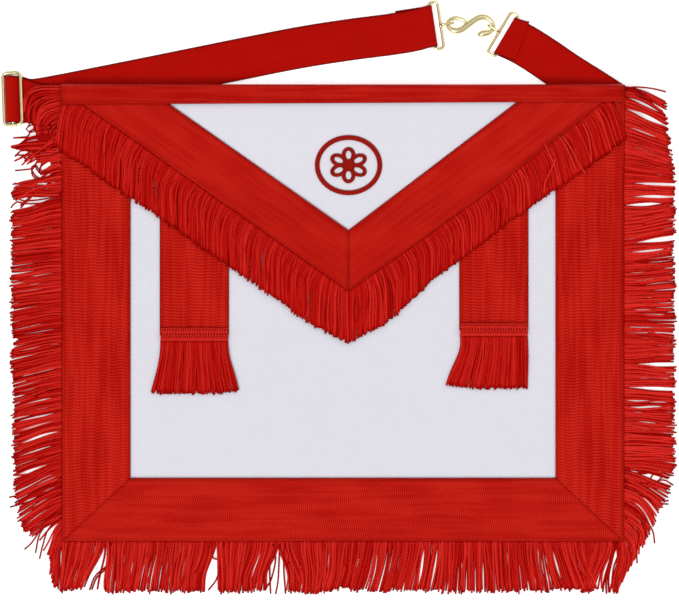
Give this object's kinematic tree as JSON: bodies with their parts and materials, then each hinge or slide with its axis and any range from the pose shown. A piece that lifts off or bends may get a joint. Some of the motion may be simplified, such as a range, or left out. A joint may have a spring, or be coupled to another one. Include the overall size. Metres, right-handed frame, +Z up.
{
  "type": "masonic apron",
  "caption": "Fringed ceremonial apron lying flat: white panel with a red ribbon border, triangular flap, two tasselled tabs and a webbing belt with a hook clasp and a slide.",
  "frame": {"origin": "middle of the body panel's underside, on the surface it lies on", "axes": "+X to the right as the front is seen, +Y towards the waist belt, +Z up out of the front"},
  "size_m": [0.4888, 0.429, 0.0107],
  "materials": {
    "white_leather": "matte white, fine grain",
    "ribbon": "ribbed moire ribbon with a soft sheen",
    "fringe_thread": "twisted glossy thread",
    "braid": "corded braid",
    "embroidery": "satin stitch",
    "webbing": "matte woven webbing",
    "pale_brass": "polished pale gold"
  },
  "bodies": {
    "root": {"body_panel": "white_leather", "flap_panel": "white_leather", "border_left": "ribbon", "border_right": "ribbon", "border_bottom": "ribbon", "top_binding": "ribbon", "flap_ribbon_left": "ribbon", "flap_ribbon_right": "ribbon", "tab_left": "ribbon", "tab_right": "ribbon", "fringe_left": "fringe_thread", "fringe_right": "fringe_thread", "fringe_bottom": "fringe_thread", "flap_fringe_left": "fringe_thread", "flap_fringe_right": "fringe_thread", "tab_fringe_left": "fringe_thread", "tab_fringe_right": "fringe_thread", "tab_braid_left": "braid", "tab_braid_right": "braid", "emblem_ring": "embroidery", "emblem_rosette": "embroidery", "belt_long": "webbing", "belt_short": "webbing", "slide_buckle": "pale_brass", "ring_left": "pale_brass", "ring_right": "pale_brass", "snake_hook": "pale_brass"}
  },
  "joints": []
}
